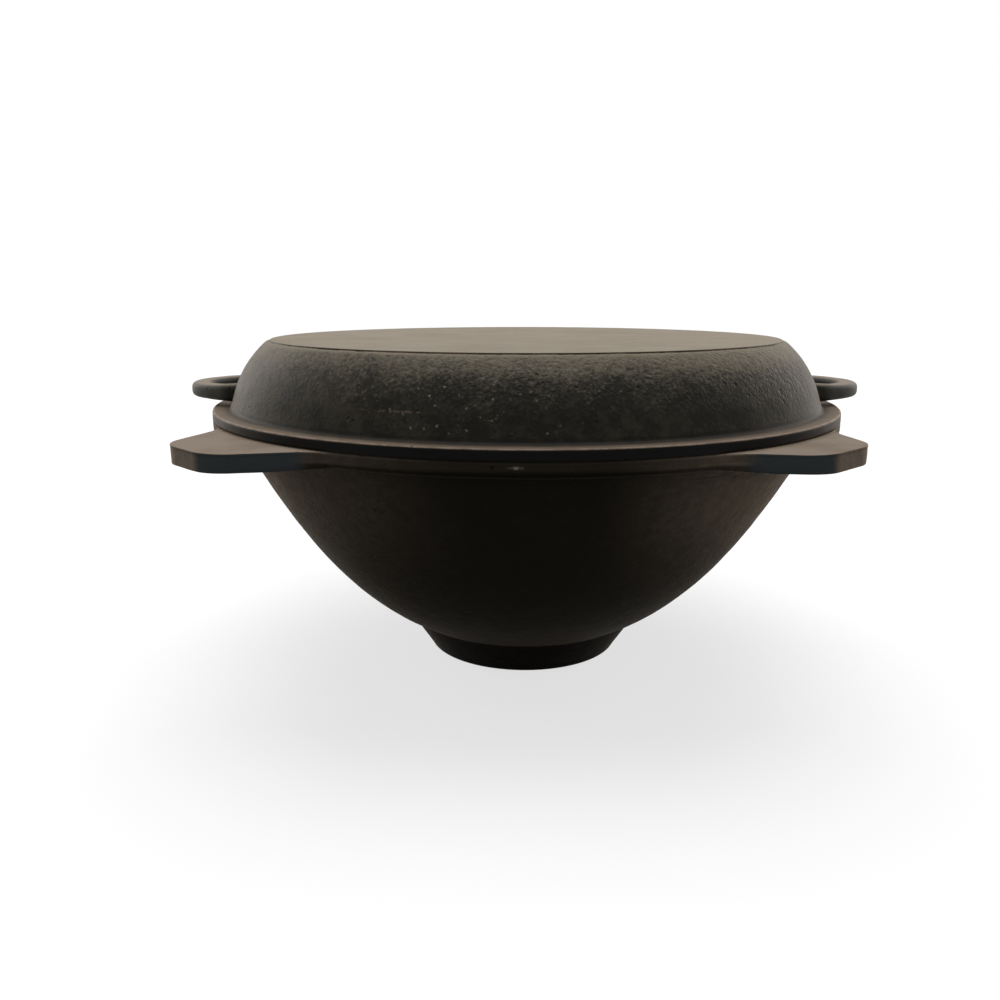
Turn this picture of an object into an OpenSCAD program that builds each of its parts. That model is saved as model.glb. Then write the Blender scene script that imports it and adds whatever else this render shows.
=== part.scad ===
// Cast-iron kazan covered by its own frying-pan lid, turned upside down on the rim.
// Millimetres. The origin is under the middle of the foot and +Z points up.
// The lid's loop handles lie along X, and the pot's ears lie between the axes.

/* [Pot] */
// Outer diameter of the pot's rim, which the lid's flange matches
rim_d = 370; // [330:1:420]
// Height of the pot, from the foot to the top of its rim
pot_h = 150; // [130:1:180]
// Thickness of the bowl's wall
pot_wall = 4.5; // [3.5:0.1:6.5]
// Thickness of the floor in the middle of the bowl
floor_t = 7; // [5:0.5:11]
// Lean of the bowl's wall at the mouth, in degrees from upright
mouth_lean = 28.5; // [22:0.5:33]
// Lean of the bowl's wall where it runs into the foot, in degrees from upright
neck_lean = 61.5; // [54:0.5:68]

/* [Rim] */
// How far the rim's collar stands out from the bowl's wall
collar_out = 8.2; // [5:0.1:14]
// Height of the collar
collar_h = 8.3; // [6.5:0.1:14]
// Rounding of the collar's lower edge
collar_round = 4; // [1:0.5:5]

/* [Foot] */
// Diameter of the flat that the pot stands on
foot_d = 117; // [90:1:128]
// Diameter of the neck, where the tapered foot meets the bowl
neck_d = 145; // [136:1:170]
// Height of the foot
foot_h = 21; // [14:0.5:28]
// Rounding of the foot's lower edge
foot_round = 2.5; // [0.5:0.5:4]

/* [Ears] */
// Number of flat ears round the rim
ear_count = 4; // [2:1:6]
// Reach of an ear's tip beyond the rim
ear_reach = 31.5; // [24:0.5:42]
// How much further this casting's ears reach on its left side, and how much less on its right
ear_uneven = 6; // [0:0.5:8]
// Width of an ear where it leaves the rim
ear_root_w = 90; // [80:1:110]
// Width of an ear across its tip
ear_tip_w = 51.5; // [44:0.5:70]
// Thickness of an ear
ear_t = 8; // [6:0.5:12]
// Rounding of the two outer corners of an ear
ear_corner = 20; // [3:0.5:24]
// Hollow rounding where an ear's sides run into the rim
ear_fillet = 9; // [3:0.5:12]
// Turn of the ears from the halfway lines between the lid's handles, in degrees
ear_turn = -1.6; // [-15:0.1:15]

/* [Lid] */
// Thickness of the lid's flange
flange_t = 5.7; // [4:0.1:9]
// Height of the lid's dome above the flange
dome_h = 37.9; // [28:0.1:55]
// Width of the flange outside the dome's wall
flange_w = 10; // [6:0.1:14]
// Diameter of the raised flat disc on top, which is the pan's base
disc_d = 302; // [270:1:306]
// Height of the step round the disc
disc_step = 0.8; // [0.3:0.1:2]
// Width of the land between the disc and the shoulder
disc_land = 2.2; // [0.5:0.1:3]
// Lean of the dome's straight wall, in degrees from upright
dome_lean = 17; // [12:0.1:28]
// Height above the flange at which that wall turns into the round shoulder
shoulder_start = 8; // [5:0.5:16]
// Thickness of the lid's top
lid_top_t = 5; // [3.5:0.1:8]
// Rounding inside the lid, between its wall and its top
lid_inside_round = 26; // [12:0.5:27]
// Draft of the lid's inner wall, in degrees
lid_draft = 3; // [1:0.5:5]
// Depth of the lip that drops into the pot's mouth
lip_depth = 4; // [2:0.5:7]
// Thickness of that lip at its lower edge
lip_t = 3.4; // [2:0.1:5]
// Clearance between the lip and the pot's wall
lip_gap = 1.5; // [0.6:0.1:3]

/* [Lid handles] */
// Reach of a loop handle's tip beyond the flange
loop_reach = 18.5; // [14:0.5:34]
// Outer width of a loop handle
loop_w = 82; // [70:1:96]
// Width of the bar that the loop is made of
loop_bar = 13; // [9:0.5:16]
// Thickness of that bar
loop_t = 9; // [6:0.5:12]
// Gap between the loop and the flange under it
loop_lift = 3; // [1.5:0.5:6]
// Rounding of the bar's edges
loop_round = 3; // [1:0.5:3]

/* [Finish] */
// Small rounding of the sharp cast edges
edge_round = 1.2; // [0.4:0.1:1.6]
// Hollow rounding of the inner corners
fillet = 2.5; // [1:0.5:3.5]

/* [Hidden] */
$fn = 120;

rim_r = rim_d / 2;
neck_r = neck_d / 2;
disc_r = disc_d / 2;
collar_z = pot_h - collar_h;
flange_z = pot_h + flange_t;
lid_z = flange_z + dome_h;
land_z = lid_z - disc_step;
loop_r = loop_w / 2;
loop_x = rim_r + loop_reach - loop_r;
loop_z = flange_z + loop_lift;

// Steps along a cast curve, round the lid's shoulder, and round a corner
curve_steps = 28;
shoulder_steps = 12;
arc_steps = 6;
// Degrees by which an ear's hidden seat in the collar is wider than its root, to each side
ear_seat_spread = 7;
// Handles of every cast curve, as a share of the distance between its ends
curve_pull = 0.35;

// Unit vector of v
function unit(v) = v / norm(v);

// Point at angle a on a circle of radius r round the axis
function on_circle(r, a) = [r * cos(a), r * sin(a)];

// Direction that leans by so many degrees from straight down, towards the axis
function down(lean) = [-sin(lean), -cos(lean)];

// Point at t on the cubic curve with the corners p
function cubic(p, t) =
    pow(1 - t, 3) * p[0] + 3 * pow(1 - t, 2) * t * p[1]
    + 3 * (1 - t) * t * t * p[2] + pow(t, 3) * p[3];

// Direction of that curve at t
function heading(p, t) =
    unit(pow(1 - t, 2) * (p[1] - p[0]) + 2 * (1 - t) * t * (p[2] - p[1]) + t * t * (p[3] - p[2]));

// Corners of the curve from a to b, which leaves along u and arrives along v
function pulled(a, u, b, v) =
    let (pull = curve_pull * norm(b - a)) [a, a + pull * u, b - pull * v, b];

// Points of the arc that leaves a along u and ends at b
function arc_to(a, u, b) =
    let (n = [-u[1], u[0]], way = b - a,
         r = way * way / (2 * (way * n)),
         sweep = 2 * asin(norm(way) / (2 * r)),
         middle = a + r * n)
    [for (i = [0 : shoulder_steps])
        let (turn = sweep * i / shoulder_steps) middle + r * (sin(turn) * u - cos(turn) * n)];

// Points of a curve, moved sideways by d to the left of its direction
function along(p, d) =
    [for (i = [0 : curve_steps])
        let (t = i / curve_steps, h = heading(p, t)) cubic(p, t) + d * [-h[1], h[0]]];

// Radius of a list of profile points at height z
function radius_at(points, z) = lookup(z, [for (p = points) [p[1], p[0]]]);

// Profile points between two heights
function between(points, low, high) = [for (p = points) if (p[1] > low && p[1] < high) p];

// List turned end for end
function turned(points) = [for (i = [len(points) - 1 : -1 : 0]) points[i]];

// Arc that rounds the corner b between a and c
function corner(a, b, c, r) =
    let (u = unit(a - b), v = unit(c - b),
         half = acos(u * v) / 2,
         middle = b + unit(u + v) * r / sin(half),
         start = b + u * r / tan(half) - middle,
         side = sign(u[1] * v[0] - u[0] * v[1]),
         a0 = atan2(start[1], start[0]))
    [for (i = [0 : arc_steps])
        let (turn = a0 + side * (180 - 2 * half) * i / arc_steps)
        middle + r * [cos(turn), sin(turn)]];

// Closed outline from points of the form [x, y] or [x, y, rounding]
function rounded(path) =
    let (n = len(path), at = [for (p = path) [p[0], p[1]]])
    [for (i = [0 : n - 1]) each
        (len(path[i]) < 3 ? [at[i]]
            : corner(at[(i + n - 1) % n], at[i], at[(i + 1) % n], path[i][2]))];

// Outside of the bowl, from the mouth down to the neck
bowl_curve = pulled([rim_r - collar_out, pot_h], down(mouth_lean), [neck_r, foot_h], down(neck_lean));
bowl_out = along(bowl_curve, 0);

// Inside of the bowl, one wall's thickness in, and then the rounded floor to the axis
bowl_in = along(bowl_curve, -pot_wall);
bowl_in_low = bowl_in[curve_steps];
floor_curve = pulled(bowl_in_low, down(neck_lean), [0, floor_t], [-1, 0]);
mouth_r = radius_at(bowl_in, pot_h);

pot_section = rounded(concat(
    [[0, 0],
     [foot_d / 2, 0, foot_round],
     [neck_r, foot_h, fillet]],
    turned(between(bowl_out, foot_h + fillet, collar_z - 2 * fillet)),
    [[radius_at(bowl_out, collar_z), collar_z, fillet],
     [rim_r, collar_z, collar_round],
     [rim_r, pot_h, edge_round],
     [mouth_r, pot_h, edge_round]],
    between(bowl_in, bowl_in_low[1], pot_h - 2 * edge_round),
    along(floor_curve, 0)));

// Half the angle that an ear's root takes up on the rim, and its hidden seat inside the collar
ear_root_a = asin(ear_root_w / 2 / rim_r);
ear_seat_a = ear_root_a + ear_seat_spread;
ear_seat_r = (mouth_r + rim_r) / 2;

// Reach of the ear that points along angle a
function reach_at(a) = ear_reach - ear_uneven * cos(a);

// Outline of an ear with that reach, seen from above, with its tip towards +X
function ear_outline(reach) = rounded(concat(
    [for (i = [-arc_steps : arc_steps]) on_circle(ear_seat_r, -ear_seat_a * i / arc_steps)],
    [concat(on_circle(rim_r, -ear_root_a), ear_fillet),
     [rim_r + reach, -ear_tip_w / 2, ear_corner],
     [rim_r + reach, ear_tip_w / 2, ear_corner],
     concat(on_circle(rim_r, ear_root_a), ear_fillet)]));

// Outside of the lid's dome, from the flange up to the land, and the room inside the lid
wall_r = rim_r - flange_w;
land_edge = [disc_r + disc_land, land_z];
wall_way = [-sin(dome_lean), cos(dome_lean)];
wall_top = [wall_r, flange_z] + wall_way * shoulder_start / cos(dome_lean);
shoulder = arc_to(wall_top, wall_way, land_edge);
lip_z = pot_h - lip_depth;
lip_r = radius_at(bowl_in, lip_z) - lip_gap;
lid_in_r = lip_r - lip_t;
roof_z = lid_z - lid_top_t;
roof_r = lid_in_r - (roof_z - lip_z) * tan(lid_draft);

lid_section = rounded(concat(
    [[0, roof_z],
     [roof_r, roof_z, lid_inside_round],
     [lid_in_r, lip_z, edge_round],
     [lip_r, lip_z, edge_round],
     [mouth_r - lip_gap, pot_h],
     [rim_r, pot_h, edge_round],
     [rim_r, flange_z, edge_round],
     [wall_r, flange_z, fillet]],
    shoulder,
    [[disc_r, land_z],
     [disc_r, lid_z],
     [0, lid_z]]));

// Section of a loop handle's bar, at its distance from the loop's middle
bar_section = rounded([
    [loop_r - loop_bar, 0, loop_round],
    [loop_r, 0, loop_round],
    [loop_r, loop_t, loop_round],
    [loop_r - loop_bar, loop_t, loop_round]]);

// Radius inside the lid's wall at which a loop handle ends
loop_end_r = (wall_r + lid_in_r) / 2;

module ear(reach) {
    translate([0, 0, pot_h - ear_t])
        linear_extrude(ear_t)
            polygon(ear_outline(reach));
}

module pot() {
    color("#2b2a29") {
        rotate_extrude() polygon(pot_section);
        for (i = [0 : ear_count - 1]) {
            a = ear_turn + 360 / ear_count * (i + 0.5);
            rotate([0, 0, a]) ear(reach_at(a));
        }
    }
}

module loop_handle() {
    difference() {
        translate([loop_x, 0, loop_z]) rotate_extrude() polygon(bar_section);
        cylinder(r = loop_end_r, h = lid_z);
    }
}

module lid() {
    color("#5a554d") {
        rotate_extrude() polygon(lid_section);
        for (side = [0, 180]) rotate([0, 0, side]) loop_handle();
    }
}

pot();
lid();
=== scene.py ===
"""Cast-iron kazan under its upturned frying-pan lid: the modelled castings, their iron and the studio."""
import math

import bmesh
import bpy
from bpy.props import FloatProperty, FloatVectorProperty, IntProperty, PointerProperty
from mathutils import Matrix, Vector
from mathutils.geometry import interpolate_bezier


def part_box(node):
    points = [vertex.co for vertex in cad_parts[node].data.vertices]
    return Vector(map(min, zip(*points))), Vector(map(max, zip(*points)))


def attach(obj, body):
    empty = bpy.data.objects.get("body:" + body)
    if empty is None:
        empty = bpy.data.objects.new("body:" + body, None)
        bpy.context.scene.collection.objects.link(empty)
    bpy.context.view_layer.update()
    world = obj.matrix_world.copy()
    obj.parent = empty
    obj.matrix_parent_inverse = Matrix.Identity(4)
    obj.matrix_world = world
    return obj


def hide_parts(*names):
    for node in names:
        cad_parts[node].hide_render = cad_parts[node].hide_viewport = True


bl_info = {
    "name": "Kazan with a frying-pan lid",
    "version": (1, 0, 0),
    "blender": (4, 5, 0),
    "location": "View3D > Sidebar > Kazan",
    "description": "Models a cast-iron kazan and its lid on the packed CAD frame",
    "category": "Add Mesh",
}

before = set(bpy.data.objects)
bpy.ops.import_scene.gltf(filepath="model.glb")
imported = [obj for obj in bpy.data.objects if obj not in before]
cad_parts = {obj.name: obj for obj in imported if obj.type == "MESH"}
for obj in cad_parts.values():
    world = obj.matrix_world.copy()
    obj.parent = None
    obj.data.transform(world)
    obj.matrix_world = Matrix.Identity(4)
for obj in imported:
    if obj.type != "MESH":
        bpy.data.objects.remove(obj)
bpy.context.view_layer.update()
POT_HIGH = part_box("pot")[1]
LID_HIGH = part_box("lid")[1]
RIM_R = LID_HIGH.y
RIM_Z = POT_HIGH.z
LID_Z = LID_HIGH.z

MM = 0.001
FULL_TURN = 2 * math.pi


# Sizes and looks

def paint(red, green, blue):
    """A colour picked as 0 to 255 values, turned into what the shader wants by the screen's own curve."""
    def straight(c):
        c /= 255
        return c / 12.92 if c <= 0.04045 else ((c + 0.055) / 1.055) ** 2.4
    return straight(red), straight(green), straight(blue)


def length(name, description, default):
    return FloatProperty(name=name, description=description, default=default, min=0.0, max=1.0,
                         unit="LENGTH", precision=4)


def slant(name, description, degrees):
    return FloatProperty(name=name, description=description, default=math.radians(degrees),
                         min=0.0, max=math.radians(85), subtype="ANGLE")


def share(name, description, default):
    return FloatProperty(name=name, description=description, default=default, min=0.0, max=1.0,
                         subtype="FACTOR")


def number(name, description, default, low, high, unit="NONE"):
    return FloatProperty(name=name, description=description, default=default, min=low, max=high,
                         unit=unit)


def colour(name, description, default):
    return FloatVectorProperty(name=name, description=description, default=default, size=3,
                               min=0.0, max=1.0, subtype="COLOR")


class PotSizes(bpy.types.PropertyGroup):
    """Sizes of the pot."""
    wall: length("Wall", "Thickness of the bowl's wall", 4.5 * MM)
    floor: length("Floor", "Thickness of the floor in the middle", 7 * MM)
    mouth_lean: slant("Lean at the mouth", "Lean of the wall from upright, under the rim", 28.5)
    neck_lean: slant("Lean at the neck", "Lean of the wall from upright, where it meets the foot", 61.5)
    collar_out: length("Collar", "How far the rim's collar stands out from the wall", 8.2 * MM)
    collar_high: length("Collar height", "Height of the collar", 8.3 * MM)
    collar_round: length("Collar rounding", "Rounding of the collar's lower edge", 4 * MM)
    foot_r: length("Foot", "Radius of the flat that it stands on", 58.5 * MM)
    neck_r: length("Neck", "Radius where the foot meets the bowl", 72.5 * MM)
    foot_high: length("Foot height", "Height of the tapered foot", 21 * MM)
    foot_round: length("Foot rounding", "Rounding of the foot's lower edge", 2.5 * MM)
    edge: length("Edges", "Rounding of the sharp edges", 1.2 * MM)
    hollow: length("Hollow corners", "Rounding of the inner corners", 2.5 * MM)
    ear_turn: slant("Ear turn", "Angle of the first ear from X", 43.4)
    ear_reach: length("Ear reach", "Reach of an ear's tip beyond the rim", 31.5 * MM)
    ear_uneven: length("Ear shift", "How much further ears reach on the left, and less on the right", 6 * MM)
    ear_root: length("Ear root", "Width of an ear where it leaves the rim", 94 * MM)
    ear_tip: length("Ear tip", "Width of an ear across its tip", 44 * MM)
    ear_corner: length("Ear corner", "Rounding of an ear's outer corners", 22 * MM)
    ear_thick: length("Ear thickness", "Thickness of an ear", 9.1 * MM)
    ear_flare: length("Ear flare", "How far out an ear's sides flare into the rim", 13 * MM)
    waves: length("Unevenness", "How deep the sand mould's unevenness goes", 0.35 * MM)


class LidSizes(bpy.types.PropertyGroup):
    """Sizes of the lid."""
    flange: length("Flange", "Thickness of the flange", 5.7 * MM)
    flange_wide: length("Flange width", "Width of the flange outside the wall", 10 * MM)
    disc_r: length("Disc", "Radius of the raised disc", 151 * MM)
    disc_step: length("Disc step", "Height of the step round the disc", 0.8 * MM)
    land: length("Land", "Width of the land outside the disc", 2.2 * MM)
    wall_lean: slant("Lean", "Lean of the straight part of the wall from upright", 17)
    shoulder: length("Shoulder", "Height above the flange where the shoulder starts", 8 * MM)
    top: length("Top", "Thickness of the top", 5 * MM)
    inside_round: length("Inner rounding", "Rounding between the wall and the top, inside", 26 * MM)
    draft: slant("Draft", "Draft of the inner wall", 3)
    lip_deep: length("Lip", "Depth of the lip that drops into the mouth", 4 * MM)
    lip_wide: length("Lip width", "Thickness of the lip at its lower edge", 3.4 * MM)
    lip_gap: length("Lip gap", "Clearance between the lip and the pot's wall", 1.5 * MM)
    edge: length("Edges", "Rounding of the sharp edges", 1.2 * MM)
    hollow: length("Hollow corners", "Rounding of the inner corners", 2.5 * MM)
    loop_reach: length("Loop reach", "Reach of a loop handle beyond the flange", 18.5 * MM)
    loop_r: length("Loop radius", "Outer radius of a loop handle", 41 * MM)
    bar_wide: length("Bar width", "Width of the loop's bar", 13 * MM)
    bar_high: length("Bar height", "Height of the loop's bar", 9 * MM)
    bar_round: length("Bar rounding", "Rounding of the bar's edges", 3.2 * MM)
    bar_lift: length("Bar lift", "Gap between the loop and the flange", 3 * MM)
    root_angle: slant("Root angle", "Angle from the loop's tip where its bar starts to swell", 52)
    root_swell: share("Root swell", "How much thicker the bar gets where it joins the wall", 0.3)
    tip_slim: share("Tip slimming", "How much thinner the bar is at its tip", 0.05)
    waves: length("Unevenness", "How deep the sand mould's unevenness goes", 0.3 * MM)


class IronLooks(bpy.types.PropertyGroup):
    """Colours and finish of the cast iron."""
    pot_wall: colour("Pot wall", "Blackened wall of the pot", paint(44, 41, 35))
    pot_worn: colour("Pot wall, worn", "Browner patches of that wall", paint(68, 60, 51))
    # Painted light: the pot's two sides and the ears' ends are lighter because of how light falls on them,
    # painted here as brown
    pot_painted_side_light: colour("Pot wall, browned", "Rubbed brown on the pot's two sides", paint(150, 134, 117))
    ear_top: colour("Rubbed tops", "Upper faces of the ears", paint(124, 112, 101))
    ear_stain: colour("Rubbed tops, stained", "Darker patches of those faces", paint(112, 100, 89))
    ear_side: colour("Ear sides", "Steely sides of the ears", paint(75, 80, 81))
    loop_side: colour("Loop sides", "Dark sides of the loop handles", paint(84, 82, 77))
    flange_top: colour("Flange top", "Upper face of the lid's flange", paint(90, 78, 67))
    # Soot in the pits and dents; elsewhere this black is painted shade: on the flange's side, in the corners
    # of the flange and of the collar, at the disc's step and towards the foot
    soot_and_painted_shade: colour("Soot", "Black that sits in pits and on the flange's side", paint(13, 12, 12))
    lid_wall: colour("Lid wall", "Charcoal wall of the lid", paint(34, 33, 29))
    lid_worn: colour("Lid wall, worn", "Greyer patches of that wall", paint(62, 58, 50))
    # This colour is also laid on the lid's shoulder as a painted highlight
    disc: colour("Disc", "Ground top disc of the lid", paint(105, 98, 84))
    disc_dark: colour("Disc, stained", "Darker streaks on the disc", paint(98, 91, 78))
    # Rust on the scratches; on the flange's rounded edge partly a painted highlight, and on the disc's step
    # a painted lightening of its shade
    rust_and_painted_light: colour("Rust", "Thin rust on scratches and on the flange's edge", paint(126, 108, 95))
    speck: colour("Specks", "Pale grains on the lid, and scuffs on the rim", paint(168, 157, 140))
    grain: length("Grain", "Depth of the sand-cast grain", 0.6 * MM)
    rough: share("Roughness", "Roughness of the iron", 0.56)
    pot_gloss: share("Pot's gloss", "Strength of the shine", 0.008)
    lid_gloss: share("Lid's gloss", "The same, on the lid", 0.06)
    pot_dust: share("Pot's dust", "Strength of the dusty sheen that shows at grazing angles", 0.12)
    lid_dust: share("Lid's dust", "The same, on the lid", 0.24)
    dust_soft: share("Dust softness", "Roughness of that sheen", 0.35)
    dust_tint: colour("Dust colour", "Colour of that sheen", paint(218, 194, 164))


class StudioSetup(bpy.types.PropertyGroup):
    """Camera, lamps and floor."""
    camera: FloatVectorProperty(name="Camera", description="Place of the camera", size=3,
                                default=(-0.0149, -0.5613, 0.2206), subtype="TRANSLATION", unit="LENGTH")
    pitch: slant("Pitch", "How far the camera looks down", 13)
    lens: number("Lens", "Focal length, on a sensor 36 mm wide", 32.58, 10, 200, "CAMERA")
    sky: share("Sky", "Light that comes from all round", 0.3)
    lamp: number("Lamp", "Strength of the overhead light", 2.75, 0, 20)
    lamp_soft: slant("Softness", "Apparent size of the overhead light", 60)
    lamp_tilt: slant("Tilt", "How far behind straight overhead that light comes from", 16)
    side_lamps: number("Side lamps", "Power of the two lamps behind", 14, 0, 200, "POWER")
    floor: colour("Floor", "Colour of the floor", (0.93, 0.93, 0.93))
    shadow: share("Shadow", "How much of the object's shadow shows on the floor", 0.3)
    floor_bounce: colour("Floor's bounce", "Colour of the light that the floor throws back", (0.1, 0.1, 0.1))
    floor_wide: IntProperty(name="Floor width", description="Width of the floor in metres", default=60,
                            min=4)


# Profiles

# How hard a curve is pulled along its end directions, as a share of the distance between its ends
CURVE_PULL = 0.35


def leaning(angle):
    """Direction in a profile that leans from straight down towards the axis."""
    return Vector((-math.sin(angle), -math.cos(angle)))


def cast_curve(a, from_way, b, to_way, steps):
    """Profile points of a smooth curve from a to b that leaves and arrives in these directions."""
    pull = CURVE_PULL * (b - a).length
    knots = (a, a + pull * from_way, b - pull * to_way, b)
    return [p.to_2d() for p in interpolate_bezier(*(knot.to_3d() for knot in knots), steps + 1)]


def beside(points, gap):
    """The same curve, moved to its left by gap."""
    moved = []
    for i, p in enumerate(points):
        way = (points[min(i + 1, len(points) - 1)] - points[max(i - 1, 0)]).normalized()
        moved.append(p + gap * Vector((-way.y, way.x)))
    return moved


def radius_at(points, height):
    """Radius of a falling profile at that height."""
    for p, q in zip(points, points[1:]):
        if (p.y - height) * (q.y - height) <= 0:
            return p.x + (q.x - p.x) * (height - p.y) / (q.y - p.y)
    raise ValueError("the profile doesn't reach that height")


def shoulder_arc(a, way, b, steps):
    """Points of the arc that leaves a along way and ends at b."""
    normal = Vector((-way.y, way.x))
    gap = b - a
    radius = gap.length_squared / (2 * gap.dot(normal))
    sweep = 2 * math.asin(gap.length / (2 * radius))
    turns = [sweep * i / steps for i in range(steps + 1)]
    return [a + radius * (normal + math.sin(t) * way - math.cos(t) * normal) for t in turns]


def rounded(path, steps=4):
    """A profile from (radius, height) or (radius, height, rounding), with those corners rounded."""
    made = []
    for i, point in enumerate(path):
        at = Vector(point[:2])
        if len(point) < 3 or not 0 < i < len(path) - 1:
            made.append(at)
            continue
        back = (Vector(path[i - 1][:2]) - at).normalized()
        ahead = (Vector(path[i + 1][:2]) - at).normalized()
        half = math.acos(max(-1.0, min(1.0, back.dot(ahead)))) / 2
        middle = at + (back + ahead).normalized() * point[2] / math.sin(half)
        start = at + back * point[2] / math.tan(half) - middle
        end = at + ahead * point[2] / math.tan(half) - middle
        sweep = start.angle_signed(end)
        for k in range(steps + 1):
            turn = -sweep * k / steps
            made.append(middle + Vector((start.x * math.cos(turn) - start.y * math.sin(turn),
                                         start.x * math.sin(turn) + start.y * math.cos(turn))))
    return made


def stretched(points, longest):
    """The profile with points added, so that no stretch of it is longer than this."""
    made = [points[0]]
    for p, q in zip(points, points[1:]):
        parts = max(1, math.ceil((q - p).length / longest))
        made += [p.lerp(q, k / parts) for k in range(1, parts + 1)]
    return made


# Shaping

# Points closer than this are one point
WELD = 0.01 * MM
# Faces that meet at less than this angle are shaded as one
SMOOTH_ANGLE = math.radians(38)
# Size of the lumps in the sand mould's unevenness, and how many finer layers of them there are
MOULD_LUMPS = 13 * MM
MOULD_DEPTH = 3
# Share of the unevenness that is left where the pot and the lid lie on each other
SEAT_WAVES = 0.3


def draw_profile(name, points, angle):
    """Starts a piece as one point and extrudes it along the profile, in the upright plane at that angle."""
    out = Vector((math.cos(angle), math.sin(angle), 0))
    up = Vector((0, 0, 1))
    places = [p.x * out + p.y * up for p in points]
    bpy.ops.object.select_all(action="DESELECT")
    bpy.ops.mesh.primitive_plane_add(size=MM, location=places[0])
    piece = bpy.context.object
    piece.name = piece.data.name = name
    bpy.ops.object.transform_apply(location=True, rotation=True, scale=True)
    bpy.ops.object.mode_set(mode="EDIT")
    bpy.ops.mesh.select_mode(type="VERT")
    bpy.ops.mesh.select_all(action="SELECT")
    bpy.ops.mesh.merge(type="CENTER")
    for here, there in zip(places, places[1:]):
        bpy.ops.mesh.extrude_region_move(TRANSFORM_OT_translate={"value": there - here})
    bpy.ops.mesh.select_all(action="SELECT")
    return piece


def choose(piece, kind, test):
    """Selects the points, edges or faces that pass the test, and nothing else."""
    bpy.ops.mesh.select_mode(type={"verts": "VERT", "edges": "EDGE", "faces": "FACE"}[kind])
    bpy.ops.mesh.select_all(action="DESELECT")
    cage = bmesh.from_edit_mesh(piece.data)
    for part in getattr(cage, kind):
        if test(part):
            part.select_set(True)
    bmesh.update_edit_mesh(piece.data)


def weld(piece):
    """Merges doubled points and turns every face outwards."""
    bpy.context.view_layer.objects.active = piece
    bpy.ops.object.mode_set(mode="EDIT")
    bpy.ops.mesh.select_mode(type="VERT")
    bpy.ops.mesh.select_all(action="SELECT")
    bpy.ops.mesh.remove_doubles(threshold=WELD)
    bpy.ops.mesh.normals_make_consistent(inside=False)
    bpy.ops.object.mode_set(mode="OBJECT")


def only(piece):
    """Selects this piece and nothing else."""
    bpy.ops.object.select_all(action="DESELECT")
    piece.select_set(True)
    bpy.context.view_layer.objects.active = piece


def copy_of(piece):
    """A copy with its own mesh."""
    only(piece)
    bpy.ops.object.duplicate()
    return bpy.context.object


def join(pieces):
    """Joins the pieces into the first of them, with their turns applied and doubled points merged."""
    only(pieces[0])
    for part in pieces:
        part.select_set(True)
    bpy.ops.object.transform_apply(location=True, rotation=True, scale=True)
    bpy.ops.object.join()
    weld(pieces[0])


def finish_casting(piece, waves, depth_at):
    """Smooths the cage and gives it the unevenness of a sand mould, which only ever goes inwards."""
    only(piece)
    smooth = piece.modifiers.new("smooth", "SUBSURF")
    smooth.levels = smooth.render_levels = 1
    smooth.use_limit_surface = False
    bpy.ops.object.modifier_apply(modifier=smooth.name)
    uneven = piece.vertex_groups.new(name="sand_cast")
    for point in piece.data.vertices:
        uneven.add([point.index], depth_at(point.co), "REPLACE")
    mould = bpy.data.textures.new("sand_mould", "CLOUDS")
    mould.noise_scale = MOULD_LUMPS
    mould.noise_depth = MOULD_DEPTH
    press = piece.modifiers.new("press", "DISPLACE")
    press.texture = mould
    press.texture_coords = "LOCAL"
    press.vertex_group = uneven.name
    press.mid_level = 1.0
    press.strength = waves
    bpy.ops.object.modifier_apply(modifier=press.name)
    piece.vertex_groups.clear()
    bpy.ops.object.shade_smooth_by_angle(angle=SMOOTH_ANGLE)


def hand_over(piece, node, material):
    """Puts the piece in the frame in place of its CAD node."""
    piece.data.materials.clear()
    piece.data.materials.append(material)
    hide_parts(node)
    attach(piece, "root")


# The pot

QUARTER = FULL_TURN / 4
QUARTER_STEPS = 48
# Steps of the rim's curve on each side of an ear's middle that the ear grows out of
EAR_ROOT_STEPS = 9
EAR_ROOT_ANGLE = EAR_ROOT_STEPS * QUARTER / QUARTER_STEPS
# Rows next to the rim: how far out the middle of the row is, and how much of the rim's curve is left in it
ROOT_ROWS = ((1.2 * MM, 0.70), (2.5 * MM, 0.42), (4.2 * MM, 0.15))
SIDE_ROWS = 4
CORNER_ROWS = 7
# How fast the flare of an ear's sides fades
FLARE_POWER = 2.5
# Edges of an ear sharper than this are rounded
SHARP = math.radians(50)
WALL_STEPS = 28
FLOOR_STEPS = 9
# No stretch of the pot's profile is longer than this
POT_STRETCH = 15 * MM
# The foot is left flat up to this height
FLAT_FOOT = 1.5 * MM


def bowl_curves(pot):
    """Outside and inside of the bowl's wall, from the mouth down."""
    mouth = Vector((RIM_R - pot.collar_out, RIM_Z))
    neck = Vector((pot.neck_r, pot.foot_high))
    outside = cast_curve(mouth, leaning(pot.mouth_lean), neck, leaning(pot.neck_lean), WALL_STEPS)
    return outside, beside(outside, -pot.wall)


def pot_profile(pot):
    """Whole section of the pot, from the middle of the foot round to the middle of the floor."""
    outside, inside = bowl_curves(pot)
    collar_z = RIM_Z - pot.collar_high
    wall_low = pot.foot_high + pot.hollow
    wall_high = collar_z - 2 * pot.hollow
    wall = [p for p in reversed(outside) if wall_low < p.y < wall_high]
    inner = [p for p in inside[::2] if inside[-1].y < p.y < RIM_Z - 2 * pot.edge]
    middle = Vector((0, pot.floor))
    floor = cast_curve(inside[-1], leaning(pot.neck_lean), middle, Vector((-1, 0)), FLOOR_STEPS)
    path = [(0, 0), (pot.foot_r, 0, pot.foot_round), (pot.neck_r, pot.foot_high, pot.hollow)]
    path += [tuple(p) for p in wall]
    path += [(radius_at(outside, collar_z), collar_z, pot.hollow),
             (RIM_R, collar_z, pot.collar_round),
             (RIM_R, RIM_Z, pot.edge),
             (radius_at(inside, RIM_Z), RIM_Z, pot.edge)]
    path += [tuple(p) for p in inner + floor]
    return stretched(rounded(path), POT_STRETCH)


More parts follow.
